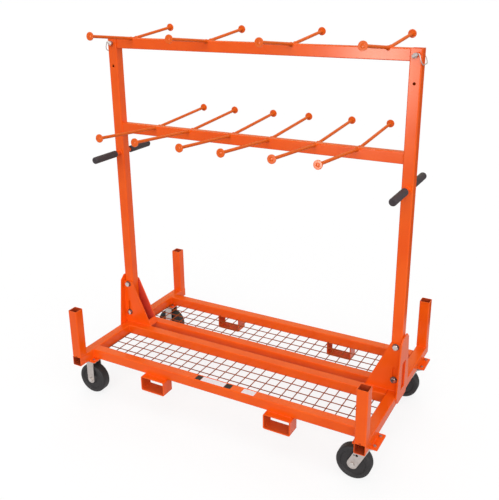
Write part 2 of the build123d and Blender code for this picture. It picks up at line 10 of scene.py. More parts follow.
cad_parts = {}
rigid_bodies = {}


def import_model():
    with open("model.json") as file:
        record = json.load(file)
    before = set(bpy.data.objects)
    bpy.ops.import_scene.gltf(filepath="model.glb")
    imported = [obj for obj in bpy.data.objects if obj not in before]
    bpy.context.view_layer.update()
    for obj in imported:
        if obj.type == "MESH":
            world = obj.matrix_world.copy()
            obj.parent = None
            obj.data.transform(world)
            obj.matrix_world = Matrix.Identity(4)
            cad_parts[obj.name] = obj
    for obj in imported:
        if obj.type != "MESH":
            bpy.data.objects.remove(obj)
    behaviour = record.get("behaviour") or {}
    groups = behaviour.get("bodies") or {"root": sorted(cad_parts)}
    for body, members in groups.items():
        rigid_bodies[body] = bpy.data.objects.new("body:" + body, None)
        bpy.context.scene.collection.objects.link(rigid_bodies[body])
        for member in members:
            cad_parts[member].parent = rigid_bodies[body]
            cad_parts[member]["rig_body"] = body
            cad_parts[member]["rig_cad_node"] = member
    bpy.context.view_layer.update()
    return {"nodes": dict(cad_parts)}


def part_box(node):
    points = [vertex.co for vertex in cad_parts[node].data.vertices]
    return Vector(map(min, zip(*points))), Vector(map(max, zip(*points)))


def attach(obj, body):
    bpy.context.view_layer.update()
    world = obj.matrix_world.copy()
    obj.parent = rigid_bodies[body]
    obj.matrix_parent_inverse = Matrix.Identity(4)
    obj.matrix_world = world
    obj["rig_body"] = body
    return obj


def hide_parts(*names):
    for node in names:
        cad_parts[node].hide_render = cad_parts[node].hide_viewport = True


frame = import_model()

MM = 0.001
# Two levels nearer than this are one
NEAR = 0.1 * MM
# A flat end has more than this share of its normal on the piece's axis
FLAT_END = 0.99
# A face with more than this share of its normal on an axis looks along that axis
ALONG = 0.9


# Colours and shader nodes

def paint(hex_colour):
    """Turn an sRGB hex colour into the linear colour that shaders take."""
    shares = [int(hex_colour[start:start + 2], 16) / 255 for start in (1, 3, 5)]
    return [s / 12.92 if s <= 0.04045 else ((s + 0.055) / 1.055) ** 2.4 for s in shares] + [1.0]


def add_node(tree, kind, inputs=(), **settings):
    """Add a node, set its properties, and set or link each of its inputs by name or number."""
    made = tree.nodes.new(kind)
    for name, value in settings.items():
        setattr(made, name, value)
    for name, value in dict(inputs).items():
        if isinstance(value, bpy.types.NodeSocket):
            tree.links.new(value, made.inputs[name])
        else:
            made.inputs[name].default_value = value
    return made


def grain_scale(size):
    """Noise scale whose patches are about this many millimetres across."""
    return 1 / (size * MM)


def bare_material(name):
    """Start a material without nodes and give its tree."""
    material = bpy.data.materials.new(name)
    material.use_nodes = True
    material.node_tree.nodes.clear()
    return material, material.node_tree


def new_material(name):
    """Start a material and give its tree and the Object coordinates in it."""
    material, tree = bare_material(name)
    place = add_node(tree, "ShaderNodeTexCoord").outputs["Object"]
    return material, tree, place


def orange_powder_coat():
    """Polyester powder coat, sprayed and baked: an even orange, satin to glossy, with a faint peel."""
    material, tree, place = new_material("orange_powder_coat")
    cloud = add_node(tree, "ShaderNodeTexNoise", {"Vector": place, "Scale": grain_scale(140), "Detail": 3})
    shade = add_node(
        tree, "ShaderNodeMapRange", {"Value": cloud.outputs["Fac"], "From Min": 0.35, "From Max": 0.65}
    )
    colour = add_node(
        tree, "ShaderNodeMix",
        {"Factor": shade.outputs["Result"], "A": paint("#EA540A"), "B": paint("#EF5C10")},
        data_type="RGBA",
    )
    # The peel is about 1.5 mm on the real coat and is drawn at 5 mm, so that it shows in the gloss
    peel = add_node(tree, "ShaderNodeTexNoise", {"Vector": place, "Scale": grain_scale(5), "Detail": 2})
    relief = add_node(
        tree, "ShaderNodeBump", {"Strength": 0.12, "Distance": 0.2 * MM, "Height": peel.outputs["Fac"]}
    )
    gloss = add_node(
        tree, "ShaderNodeMapRange", {"Value": cloud.outputs["Fac"], "To Min": 0.22, "To Max": 0.28}
    )
    surface = add_node(
        tree, "ShaderNodeBsdfPrincipled",
        {
            "Base Color": colour.outputs["Result"],
            "Roughness": gloss.outputs["Result"],
            "IOR": 1.45,
            "Specular IOR Level": 0.26,
            "Normal": relief.outputs["Normal"],
        },
    )
    add_node(tree, "ShaderNodeOutputMaterial", {"Surface": surface.outputs["BSDF"]})
    return material


def shaded_powder_coat(name, thin, thick, smooth, rough, shine):
    """Powder coat on wire, rod or a small disc: a browner orange than on the tubes, on wire and rod also
    darker, as painted shade on thin round parts.
    """
    material, tree, place = new_material(name)
    cover = add_node(tree, "ShaderNodeTexNoise", {"Vector": place, "Scale": grain_scale(30), "Detail": 3})
    colour = add_node(
        tree, "ShaderNodeMix",
        {"Factor": cover.outputs["Fac"], "A": paint(thin), "B": paint(thick)},
        data_type="RGBA",
    )
    gloss = add_node(
        tree, "ShaderNodeMapRange", {"Value": cover.outputs["Fac"], "To Min": smooth, "To Max": rough}
    )
    surface = add_node(
        tree, "ShaderNodeBsdfPrincipled",
        {
            "Base Color": colour.outputs["Result"],
            "Roughness": gloss.outputs["Result"],
            "IOR": 1.45,
            "Specular IOR Level": shine,
        },
    )
    add_node(tree, "ShaderNodeOutputMaterial", {"Surface": surface.outputs["BSDF"]})
    return material


def blotched_film(name, bare, covered):
    """Dull, blotched film of a darker colour: painted shade in hollows, between plates and in holes."""
    material, tree, place = new_material(name)
    dust = add_node(tree, "ShaderNodeTexNoise", {"Vector": place, "Scale": grain_scale(22), "Detail": 5})
    colour = add_node(
        tree, "ShaderNodeMix",
        {"Factor": dust.outputs["Fac"], "A": paint(bare), "B": paint(covered)},
        data_type="RGBA",
    )
    surface = add_node(
        tree, "ShaderNodeBsdfPrincipled",
        {
            "Base Color": colour.outputs["Result"],
            "Roughness": 0.75,
            "IOR": 1.45,
            "Specular IOR Level": 0.2,
        },
    )
    add_node(tree, "ShaderNodeOutputMaterial", {"Surface": surface.outputs["BSDF"]})
    return material


def zinc_plate(name, dull, bright, smooth, rough):
    """Zinc-plated steel: a pale grey metal, clouded by the bath, with duller and brighter patches."""
    material, tree, place = new_material(name)
    cloud = add_node(tree, "ShaderNodeTexNoise", {"Vector": place, "Scale": grain_scale(18), "Detail": 4})
    tint = add_node(
        tree, "ShaderNodeMix",
        {"Factor": cloud.outputs["Fac"], "A": paint(dull), "B": paint(bright)},
        data_type="RGBA",
    )
    spangle = add_node(tree, "ShaderNodeTexVoronoi", {"Vector": place, "Scale": grain_scale(4)})
    gloss = add_node(
        tree, "ShaderNodeMapRange",
        {"Value": spangle.outputs["Distance"], "To Min": smooth, "To Max": rough},
    )
    relief = add_node(
        tree, "ShaderNodeBump", {"Strength": 0.08, "Distance": 0.1 * MM, "Height": cloud.outputs["Fac"]}
    )
    surface = add_node(
        tree, "ShaderNodeBsdfPrincipled",
        {
            "Base Color": tint.outputs["Result"],
            "Metallic": 1.0,
            "Roughness": gloss.outputs["Result"],
            "Normal": relief.outputs["Normal"],
        },
    )
    add_node(tree, "ShaderNodeOutputMaterial", {"Surface": surface.outputs["BSDF"]})
    return material


def shaded_zinc():
    """Zinc plate on the washers, painted a darker grey than the bolt heads on them as shade round the
    heads; matt.
    """
    material, tree, place = new_material("shaded_zinc")
    cloud = add_node(tree, "ShaderNodeTexNoise", {"Vector": place, "Scale": grain_scale(9), "Detail": 4})
    tint = add_node(
        tree, "ShaderNodeMix",
        {"Factor": cloud.outputs["Fac"], "A": paint("#4E4745"), "B": paint("#67605D")},
        data_type="RGBA",
    )
    surface = add_node(
        tree, "ShaderNodeBsdfPrincipled",
        {"Base Color": tint.outputs["Result"], "Metallic": 1.0, "Roughness": 0.5},
    )
    add_node(tree, "ShaderNodeOutputMaterial", {"Surface": surface.outputs["BSDF"]})
    return material


def turned_steel():
    """Plain turned steel on bushes and balls: a darker grey metal with a smooth cut surface."""
    material, tree, place = new_material("turned_steel")
    cloud = add_node(tree, "ShaderNodeTexNoise", {"Vector": place, "Scale": grain_scale(6), "Detail": 3})
    gloss = add_node(
        tree, "ShaderNodeMapRange", {"Value": cloud.outputs["Fac"], "To Min": 0.22, "To Max": 0.38}
    )
    surface = add_node(
        tree, "ShaderNodeBsdfPrincipled",
        {"Base Color": paint("#9A9896"), "Metallic": 1.0, "Roughness": gloss.outputs["Result"]},
    )
    add_node(tree, "ShaderNodeOutputMaterial", {"Surface": surface.outputs["BSDF"]})
    return material


def moulded_rubber():
    """Hard moulded rubber of the wheels: charcoal, dull, with a faint bloom and a fine mould grain."""
    material, tree, place = new_material("moulded_rubber")
    bloom = add_node(tree, "ShaderNodeTexNoise", {"Vector": place, "Scale": grain_scale(35), "Detail": 5})
    colour = add_node(
        tree, "ShaderNodeMix",
        {"Factor": bloom.outputs["Fac"], "A": paint("#1F1C1D"), "B": paint("#2B2829")},
        data_type="RGBA",
    )
    grain = add_node(tree, "ShaderNodeTexNoise", {"Vector": place, "Scale": grain_scale(1.6), "Detail": 2})
    relief = add_node(
        tree, "ShaderNodeBump", {"Strength": 0.2, "Distance": 0.3 * MM, "Height": grain.outputs["Fac"]}
    )
    gloss = add_node(
        tree, "ShaderNodeMapRange", {"Value": bloom.outputs["Fac"], "To Min": 0.48, "To Max": 0.66}
    )
    surface = add_node(
        tree, "ShaderNodeBsdfPrincipled",
        {
            "Base Color": colour.outputs["Result"],
            "Roughness": gloss.outputs["Result"],
            "IOR": 1.52,
            "Specular IOR Level": 0.35,
            "Normal": relief.outputs["Normal"],
        },
    )
    add_node(tree, "ShaderNodeOutputMaterial", {"Surface": surface.outputs["BSDF"]})
    return material


def grip_rubber():
    """Soft rubber sleeve of the handles: dark warm grey, matt, with a pebbled skin."""
    material, tree, place = new_material("grip_rubber")
    wear = add_node(tree, "ShaderNodeTexNoise", {"Vector": place, "Scale": grain_scale(25), "Detail": 4})
    colour = add_node(
        tree, "ShaderNodeMix",
        {"Factor": wear.outputs["Fac"], "A": paint("#2E2629"), "B": paint("#3A3135")},
        data_type="RGBA",
    )
    pebble = add_node(tree, "ShaderNodeTexVoronoi", {"Vector": place, "Scale": grain_scale(2.2)})
    relief = add_node(
        tree, "ShaderNodeBump",
        {"Strength": 0.3, "Distance": 0.4 * MM, "Height": pebble.outputs["Distance"]},
    )
    surface = add_node(
        tree, "ShaderNodeBsdfPrincipled",
        {
            "Base Color": colour.outputs["Result"],
            "Roughness": 0.7,
            "IOR": 1.52,
            "Specular IOR Level": 0.4,
            "Normal": relief.outputs["Normal"],
        },
    )
    add_node(tree, "ShaderNodeOutputMaterial", {"Surface": surface.outputs["BSDF"]})
    return material


def label_vinyl(name, dusty, clean):
    """Plain vinyl film of one colour: smooth, with a dull sheen, faintly dusty."""
    material, tree, place = new_material(name)
    dust = add_node(tree, "ShaderNodeTexNoise", {"Vector": place, "Scale": grain_scale(12), "Detail": 3})
    colour = add_node(
        tree, "ShaderNodeMix",
        {"Factor": dust.outputs["Fac"], "A": paint(dusty), "B": paint(clean)},
        data_type="RGBA",
    )
    surface = add_node(
        tree, "ShaderNodeBsdfPrincipled",
        {
            "Base Color": colour.outputs["Result"],
            "Roughness": 0.55,
            "IOR": 1.54,
            "Specular IOR Level": 0.15,
        },
    )
    add_node(tree, "ShaderNodeOutputMaterial", {"Surface": surface.outputs["BSDF"]})
    return material


ORANGE = orange_powder_coat()
# Painted shade: wire and rod get a darker, browner orange than the tubes; their duller gloss is their own
WIRE = shaded_powder_coat("wire_coat_with_painted_shade", "#8E3E10", "#A44C16", 0.42, 0.56, 0.14)
ROD = shaded_powder_coat("rod_coat_with_painted_shade", "#D45811", "#E0621B", 0.42, 0.56, 0.14)
DISC_COAT = shaded_powder_coat("powder_coat_on_disc", "#DC5A10", "#E6621A", 0.2, 0.27, 0.26)
# Painted shade: a darker red-orange on the insides of the tubes, where little light reaches
INSIDE = blotched_film("painted_shade_in_tubes", "#9C3414", "#C2461A")
# Painted shade: a darker orange inside the fork pockets
POCKET_INSIDE = blotched_film("painted_shade_in_pockets", "#CC460F", "#DC5012")
# Painted shade: a dull red on the faces of each gusset pair that face each other
PLATE_INSIDE = blotched_film("painted_shade_between_plates", "#CA3E2A", "#DC4A34")
# Painted shade: near black on the walls of the holes in the swivel forks
BORE_SHADE = blotched_film("painted_shade_in_bores", "#1C1817", "#2A2422")
ZINC = zinc_plate("zinc_plate", "#A39A96", "#CCC3BE", 0.3, 0.46)
# Partly painted highlight: bolts, axles and their nuts are a lighter grey than the other zinc; their plate
# is also smoother
LIT_ZINC = zinc_plate("zinc_plate_with_painted_highlight", "#B2ABA7", "#DAD3CF", 0.12, 0.22)
# Painted shade: the washers are a darker zinc than the bolts on them
SHADED_ZINC = shaded_zinc()
STEEL = turned_steel()
TYRE = moulded_rubber()
GRIP = grip_rubber()
WHITE_VINYL = label_vinyl("white_vinyl", "#DCD4D6", "#E8E2E4")
DARK_VINYL = label_vinyl("dark_vinyl", "#2E2524", "#241C1C")


# Modelling steps that every piece shares

def take(piece):
    """Select and activate one piece alone, in object mode."""
    bpy.ops.object.select_all(action="DESELECT")
    piece.select_set(True)
    bpy.context.view_layer.objects.active = piece


def add_piece(name, primitive, **settings):
    """Add a primitive at its size and place, with the place moved into its mesh."""
    bpy.ops.object.select_all(action="DESELECT")
    primitive(**settings)
    piece = bpy.context.object
    piece.name = name
    bpy.ops.object.transform_apply()
    return piece


def edit(piece):
    """Open one piece alone in edit mode."""
    take(piece)
    bpy.ops.object.mode_set(mode="EDIT")


def close_edit():
    """Leave edit mode."""
    bpy.ops.object.mode_set(mode="OBJECT")


def pick(piece, kind, test):
    """In edit mode, select only the vertices, edges or faces that pass a test of middle and part."""
    bpy.ops.mesh.select_mode(type=kind)
    bpy.ops.mesh.select_all(action="DESELECT")
    shape = bmesh.from_edit_mesh(piece.data)
    for part in {"VERT": shape.verts, "EDGE": shape.edges, "FACE": shape.faces}[kind]:
        corners = [part] if kind == "VERT" else part.verts
        middle = sum((corner.co for corner in corners), Vector()) / len(corners)
        part.select_set(bool(test(middle, part)))
    shape.select_flush_mode()
    bmesh.update_edit_mesh(piece.data)


def lies_level(point, edge):
    """Test for the edges that lie level, as those round the ends of a piece along Z do."""
    return abs(edge.verts[0].co.z - edge.verts[1].co.z) < NEAR


def put(master, name, matrix):
    """Copy a master with its own mesh, and move the copy's mesh to its place."""
    copy = master.copy()
    copy.data = master.data.copy()
    copy.name = name
    bpy.context.scene.collection.objects.link(copy)
    copy.matrix_world = matrix
    take(copy)
    bpy.ops.object.transform_apply()
    return copy


def join(name, pieces):
    """Join pieces into one that has the name."""
    take(pieces[0])
    for piece in pieces:
        piece.select_set(True)
    bpy.ops.object.join()
    joined = bpy.context.object
    joined.name = name
    return joined


def drop(*masters):
    """Delete pieces that were only copied from."""
    for master in masters:
        bpy.data.objects.remove(master)


def spread(master, name, places):
    """Copy a master to each place and join the copies."""
    copies = [put(master, f"{name}_copy", place) for place in places]
    drop(master)
    return join(name, copies)


def round_edges(piece, width, segments=2, angle=35):
    """Round the edges that turn by more than the angle."""
    take(piece)
    rounding = piece.modifiers.new("rounding", "BEVEL")
    rounding.width = width
    rounding.segments = segments
    rounding.limit_method = "ANGLE"
    rounding.angle_limit = radians(angle)
    bpy.ops.object.modifier_apply(modifier="rounding")


def flatten_shading(piece):
    """Keep the flat faces of a smooth-shaded piece flat, up to their rounded edges."""
    take(piece)
    weights = piece.modifiers.new("weights", "WEIGHTED_NORMAL")
    weights.keep_sharp = True
    bpy.ops.object.modifier_apply(modifier="weights")


def dress(piece, body, finish, stands_for=(), angle=32):
    """Give a finished piece its material, smooth shading and body, and hide the nodes it stands for."""
    take(piece)
    piece.data.materials.clear()
    piece.data.materials.append(finish)
    bpy.ops.object.shade_smooth_by_angle(angle=radians(angle))
    flatten_shading(piece)
    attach(piece, body)
    if stands_for:
        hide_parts(*stands_for)


def turned_to(direction):
    """Turn +Z to a direction."""
    return Vector((0, 0, 1)).rotation_difference(Vector(direction)).to_matrix().to_4x4()


def middle_of(node):
    """Middle of a node's box."""
    low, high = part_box(node)
    return (low + high) / 2


# Nodes of the frame that keep their shape

KEPT = {
    ORANGE: ("handle_rods", "top_bar_legs"),
    ROD: ("top_arms", "mid_arms"),
    WIRE: ("front_deck_mesh", "rear_deck_mesh"),
    ZINC: ("left_lock_bail", "right_lock_bail", "swivel_plates", "swivel_kingpins"),
    STEEL: (
        "swivel_balls",
        "front_left_wheel_bush",
        "front_right_wheel_bush",
        "rear_left_wheel_bush",
        "rear_right_wheel_bush",
    ),
}
for finish, nodes in KEPT.items():
    for name in nodes:
        frame["nodes"][name].data.materials.clear()
        frame["nodes"][name].data.materials.append(finish)


# Nodes whose sheared, sawn or drilled edges are rounded

MERGE_GAP = 0.002 * MM
FLAT_TURN = radians(0.5)
TUBE_EDGE = 0.5 * MM
PLATE_EDGE = 0.7 * MM
PIN_EDGE = 0.4 * MM
POCKET_WIDTH = 138 * MM
# Holes in the legs of a swivel fork: how far right of the axle and above it, and the radius
FORK_HOLES = (
    (19.5 * MM, 49.5 * MM, 6 * MM),
    (7.2 * MM, 49.5 * MM, 3.5 * MM),
)
BORE_MARGIN = 0.8 * MM
# Places of y and z in a vector
AXIS_Y = 1
AXIS_Z = 2


def rounded_copy(node, body, finish, width):
    """Copy a node, merge its triangles into flat faces and round its edges."""
    piece = frame["nodes"][node].copy()
    piece.data = piece.data.copy()
    piece.parent = None
    piece.name = f"{node}_finished"
    del piece["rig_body"]
    del piece["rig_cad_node"]
    bpy.context.scene.collection.objects.link(piece)
    edit(piece)
    bpy.ops.mesh.select_all(action="SELECT")
    bpy.ops.mesh.remove_doubles(threshold=MERGE_GAP)
    bpy.ops.mesh.dissolve_limited(angle_limit=FLAT_TURN)
    bpy.ops.mesh.customdata_custom_splitnormals_clear()
    close_edit()
    round_edges(piece, width)
    dress(piece, body, finish, [node])
    return piece


def refinish(piece, finish, test):
    """Give the faces that pass a test of middle and face a second finish."""
    piece.data.materials.append(finish)
    edit(piece)
    pick(piece, "FACE", test)
    piece.active_material_index = 1
    bpy.ops.object.material_slot_assign()
    close_edit()


def darken_inside(piece, finish, axis, *centres):
    """Paint shade on the inner faces of tubes along an axis, through some centres, as a finish of their
    own.
    """

    def faces_centre(point, face):
        inward = min((centre - point for centre in centres), key=lambda way: way.length)
        inward[axis] = 0
        return abs(face.normal[axis]) < ALONG and face.normal.dot(inward) > 0

    refinish(piece, finish, faces_centre)


def darken_bores(fork, axle):
    """Paint near-black shade on the walls of the holes that are drilled in a swivel fork's legs."""

    def on_wall(point, face):
        gaps = [
            hypot(point.x - axle.x - right, point.z - axle.z - up) - radius
            for right, up, radius in FORK_HOLES
        ]
        return abs(face.normal.y) < ALONG and min(gaps) < BORE_MARGIN

    refinish(fork, BORE_SHADE, on_wall)


# Tubes and pockets get painted shade inside, gussets on the faces between each pair, forks in their bores
for side in ("left", "right"):
    for node, axis in ((f"{side}_end_rail", AXIS_Y), (f"{side}_upright", AXIS_Z)):
        tube = rounded_copy(node, "cart", ORANGE, TUBE_EDGE)
        darken_inside(tube, INSIDE, axis, middle_of(node))
    rounded_copy(f"{side}_end_plate", "cart", ORANGE, PLATE_EDGE)
    rounded_copy(f"{side}_lock_pin", f"{side}_lock_pin", ZINC, PIN_EDGE)
    for face, inward in (("front", 1), ("rear", -1)):
        node = f"{face}_{side}_post"
        tube = rounded_copy(node, "cart", ORANGE, TUBE_EDGE)
        darken_inside(tube, INSIDE, AXIS_Z, middle_of(node))
        gusset = rounded_copy(f"{side}_{face}_gusset", "cart", ORANGE, PLATE_EDGE)
        # The faces of the gussets that face each other get painted shade
        refinish(gusset, PLATE_INSIDE, lambda point, flat: flat.normal.y * inward > ALONG)
for face in ("front", "rear"):
    rounded_copy(f"{face}_rail", "cart", ORANGE, TUBE_EDGE)
    rounded_copy(f"{face}_inner_rail", "cart", ORANGE, TUBE_EDGE)
    node = f"{face}_fork_pockets"
    reach = Vector((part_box(node)[1].x - POCKET_WIDTH / 2, 0, 0))
    pockets = rounded_copy(node, "cart", ORANGE, PLATE_EDGE)
    darken_inside(pockets, POCKET_INSIDE, AXIS_Y, middle_of(node) - reach, middle_of(node) + reach)
    rounded_copy(f"{face}_rigid_fork", "cart", ZINC, PLATE_EDGE)
    fork = rounded_copy(f"{face}_swivel_fork", f"{face}_swivel", ZINC, PLATE_EDGE)
    darken_bores(fork, middle_of(f"{face}_swivel_axle"))
rounded_copy("mid_bar", "cart", ORANGE, TUBE_EDGE)
rounded_copy("top_bar", "cart", ORANGE, TUBE_EDGE)
rounded_copy("gusset_ties", "cart", ORANGE, PLATE_EDGE)
rounded_copy("caster_mount_plates", "cart", ORANGE, PLATE_EDGE)
rounded_copy("bracket_washers", "cart", SHADED_ZINC, PIN_EDGE)


# Wheels: a moulded tyre with a sunk web and a raised hub

# Steps in the rounding of a tread and of a grip's ends
ROUND_STEPS = 6
WHEEL_WIDTH = 50.8 * MM
WHEEL_SIDES = 96
WHEEL_EDGE = 0.8 * MM
TREAD_ROUND = 9 * MM
RIM_RADIUS = 61 * MM
RING_MARGIN = 4 * MM
RING_WIDTH = 1.4 * MM
RING_DEPTH = 0.9 * MM
WEB_SLOPE = 5 * MM
WEB_RECESS = 6 * MM
HUB_RADIUS = 24 * MM
HUB_RISE = 8.2 * MM
BUSH_RADIUS = 9.5 * MM


def wheel(name):
    """Model one wheel over its node: tread, moulded ring, web, hub and bore."""
    low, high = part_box(name)
    middle = (low + high) / 2
    radius = (high.x - low.x) / 2
    piece = add_piece(
        f"{name}_tyre", bpy.ops.mesh.primitive_cylinder_add,
        vertices=WHEEL_SIDES, radius=radius, depth=WHEEL_WIDTH, location=middle, rotation=(pi / 2, 0, 0),
    )

    def on_side(point, edge):
        return all(abs(abs(end.co.y - middle.y) - WHEEL_WIDTH / 2) < NEAR for end in edge.verts)

    def flat_side(point, face):
        return abs(face.normal.y) > FLAT_END and len(face.verts) == WHEEL_SIDES

    edit(piece)
    pick(piece, "EDGE", on_side)
    bpy.ops.mesh.bevel(offset=TREAD_ROUND, segments=ROUND_STEPS)
    pick(piece, "FACE", flat_side)
    shoulder = radius - TREAD_ROUND
    # From the shoulder to the bore: how far each ring goes in, and how far it rises
    steps = (
        (RING_MARGIN, 0),
        (RING_WIDTH / 2, -RING_DEPTH),
        (RING_WIDTH, 0),
        (RING_WIDTH / 2, RING_DEPTH),
        (shoulder - RING_MARGIN - 2 * RING_WIDTH - RIM_RADIUS, 0),
        (WEB_SLOPE, -WEB_RECESS),
        (RIM_RADIUS - 2 * WEB_SLOPE - HUB_RADIUS, 0),
        (WEB_SLOPE, HUB_RISE),
        (HUB_RADIUS - BUSH_RADIUS, 0),
    )
    for width, rise in steps:
        bpy.ops.mesh.inset(thickness=width, depth=rise, use_individual=True)
    bpy.ops.mesh.delete(type="ONLY_FACE")
    pick(piece, "EDGE", lambda point, edge: edge.is_boundary)
    bpy.ops.mesh.bridge_edge_loops()
    close_edit()
    round_edges(piece, WHEEL_EDGE, angle=25)
    dress(piece, name, TYRE, [name])


for face in ("front", "rear"):
    for side in ("left", "right"):
        wheel(f"{face}_{side}_wheel")


# Handle grips: rubber sleeves with rounded ends and a moulded dimple

GRIP_START = 57 * MM
GRIP_SIDES = 48
GRIP_ROUND = 5 * MM
GRIP_EDGE = 0.4 * MM
DIMPLE_MARGIN = 5 * MM
DIMPLE_DEPTH = 1.2 * MM
ROD_RADIUS = 11.1 * MM
grip_low, grip_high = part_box("handle_grips")
grip_radius = (grip_high.z - grip_low.z) / 2
grip_z = (grip_high.z + grip_low.z) / 2


def handle_places(reach):
    """Places on both handles, this far to the front and to the rear, that look outwards."""
    return [
        Matrix.Translation((x, way * reach, grip_z)) @ turned_to((0, way, 0))
        for x in (grip_low.x + grip_radius, grip_high.x - grip_radius)
        for way in (-1, 1)
    ]


def grip():
    """Model one grip along +Z from the origin, the open end at the origin."""
    length = grip_high.y - GRIP_START
    piece = add_piece(
        "grip", bpy.ops.mesh.primitive_cylinder_add,
        vertices=GRIP_SIDES, radius=grip_radius, depth=length, location=(0, 0, length / 2),
    )
    edit(piece)
    pick(piece, "EDGE", lies_level)
    bpy.ops.mesh.bevel(offset=GRIP_ROUND, segments=ROUND_STEPS)
    pick(piece, "FACE", lambda point, face: face.normal.z > FLAT_END and len(face.verts) == GRIP_SIDES)
    bpy.ops.mesh.inset(thickness=DIMPLE_MARGIN)
    bpy.ops.mesh.inset(thickness=DIMPLE_DEPTH, depth=-DIMPLE_DEPTH)
    pick(piece, "FACE", lambda point, face: face.normal.z < -FLAT_END and len(face.verts) == GRIP_SIDES)
    bpy.ops.mesh.inset(thickness=grip_radius - GRIP_ROUND - ROD_RADIUS)
    bpy.ops.mesh.inset(thickness=DIMPLE_DEPTH / 2, depth=-2 * DIMPLE_DEPTH)
    close_edit()
    round_edges(piece, GRIP_EDGE, angle=30)
    return piece


dress(spread(grip(), "grip_sleeves", handle_places(GRIP_START)), "cart", GRIP, ["handle_grips"])


# Bolts and nuts with chamfered corners

HEX_SIDES = 6
ROUND_SIDES = 48
SHANK_SIDES = 24
CHAMFER_SLOPE = radians(30)
# Shares of a hexagon: its chamfered face of half its flats, and the round blank of its corner
CHAMFER_SHARE = 0.95
BLANK_SHARE = 1.02
# Shares of a bolt: the thread's root and the point's inset of its radius, the point's rise of its pitch
THREAD_ROOT = 0.9
TIP_INSET = 0.12
TIP_RISE = 0.3
NUT_EDGE = 0.25 * MM
COARSE_PITCH = 2 * MM
FINE_PITCH = 1.2 * MM
BRACKET_HEX = 23.8 * MM
BRACKET_HEAD = 9.9 * MM
BRACKET_NUT = 13.7 * MM
BRACKET_TAIL = 4 * MM
BRACKET_RADIUS = 7.9375 * MM
WASHER_RADIUS = 15.9 * MM
CASTER_HEX = 12.7 * MM
CASTER_NUT = 6.8 * MM
CASTER_TAIL = 0.6 * MM
CASTER_RADIUS = 3.95 * MM
CASTER_STEP = 76.265 * MM
AXLE_HEX = 19.05 * MM
AXLE_HEAD = 8 * MM
AXLE_NUT = 10 * MM
AXLE_TAIL = 3 * MM
AXLE_RADIUS = 6.35 * MM
AXLE_LENGTH = 86.8 * MM


def hex_block(flats, height, both_ends=False):
    """Model a hexagon along +Z from the origin, its corners turned off at the top, or at both ends."""
    corner = flats / 2 / cos(pi / HEX_SIDES)
    block = add_piece(
        "hex", bpy.ops.mesh.primitive_cylinder_add,
        vertices=HEX_SIDES, radius=corner, depth=height,
        location=(0, 0, height / 2), rotation=(0, 0, pi / HEX_SIDES),
    )
    blank = corner * BLANK_SHARE
    over = blank - flats / 2 * CHAMFER_SHARE
    rise = over * tan(CHAMFER_SLOPE)
    foot = rise if both_ends else 0
    turned = add_piece(
        "turned", bpy.ops.mesh.primitive_cylinder_add,
        vertices=ROUND_SIDES, radius=blank, depth=height - rise - foot,
        location=(0, 0, (height - rise + foot) / 2),
    )

    def at_end(point, face):
        return face.normal.z > FLAT_END or (both_ends and face.normal.z < -FLAT_END)

    edit(turned)
    pick(turned, "FACE", at_end)
    bpy.ops.mesh.inset(thickness=over, depth=rise, use_individual=True)
    close_edit()
    take(block)
    cut = block.modifiers.new("chamfer", "BOOLEAN")
    cut.operation = "INTERSECT"
    cut.object = turned
    bpy.ops.object.modifier_apply(modifier="chamfer")
    drop(turned)
    return block


def threaded_end(radius, length, pitch):
    """Model the end of a bolt along +Z from the origin, with thread ridges and a pointed end."""
    end = add_piece(
        "end", bpy.ops.mesh.primitive_circle_add,
        vertices=SHANK_SIDES, radius=radius * THREAD_ROOT, fill_type="NGON",
    )
    edit(end)
    bpy.ops.mesh.select_all(action="SELECT")
    for _ in range(round(length / pitch)):
        for share in (1 / THREAD_ROOT, THREAD_ROOT):
            bpy.ops.mesh.extrude_region_move(TRANSFORM_OT_translate={"value": (0, 0, pitch / 2)})
            bpy.ops.transform.resize(value=(share, share, 1))
    bpy.ops.mesh.inset(thickness=radius * TIP_INSET, depth=pitch * TIP_RISE)
    bpy.ops.mesh.select_all(action="SELECT")
    bpy.ops.mesh.normals_make_consistent(inside=False)
    close_edit()
    return end


def shank(radius, start, stop):
    """Model a plain round shank along +Z between two heights."""
    return add_piece(
        "shank", bpy.ops.mesh.primitive_cylinder_add,
        vertices=SHANK_SIDES, radius=radius, depth=stop - start, location=(0, 0, (start + stop) / 2),
    )


def bolt(flats, head, radius, reach, tail, pitch):
    """Model a bolt along -Z: head above the origin, shank below, ridges on its tail and one pitch more."""
    ridged = tail + pitch
    top = hex_block(flats, head)
    body = shank(radius, ridged - reach, 0)
    tip = threaded_end(radius, ridged, pitch)
    tip_low = put(tip, "tip", Matrix.Translation((0, 0, ridged - reach)) @ Matrix.Rotation(pi, 4, "X"))
    drop(tip)
    return join("bolt", [top, body, tip_low])


def nut(flats, height):
    """Model a nut along +Z from the origin, chamfered at both ends."""
    piece = hex_block(flats, height, both_ends=True)
    round_edges(piece, NUT_EDGE, segments=1, angle=20)
    return piece


def axle_set(node, body, spans):
    """Model the axle bolts of one node over spans from front to rear, heads in front, with their nuts."""
    low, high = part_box(node)
    x = (low.x + high.x) / 2
    z = (low.z + high.z) / 2
    parts = []
    for front, rear in spans:
        seat = front + AXLE_HEAD
        screw = bolt(AXLE_HEX, AXLE_HEAD, AXLE_RADIUS, rear - seat, AXLE_TAIL, COARSE_PITCH)
        place = Matrix.Translation((x, seat, z)) @ turned_to((0, -1, 0))
        parts.append(put(screw, "axle_bolt", place))
        holder = nut(AXLE_HEX, AXLE_NUT)
        place = Matrix.Translation((x, rear - AXLE_TAIL - AXLE_NUT, z)) @ turned_to((0, 1, 0))
        parts.append(put(holder, "axle_nut", place))
        drop(screw, holder)
    dress(join(f"{node}_set", parts), body, LIT_ZINC, [node])


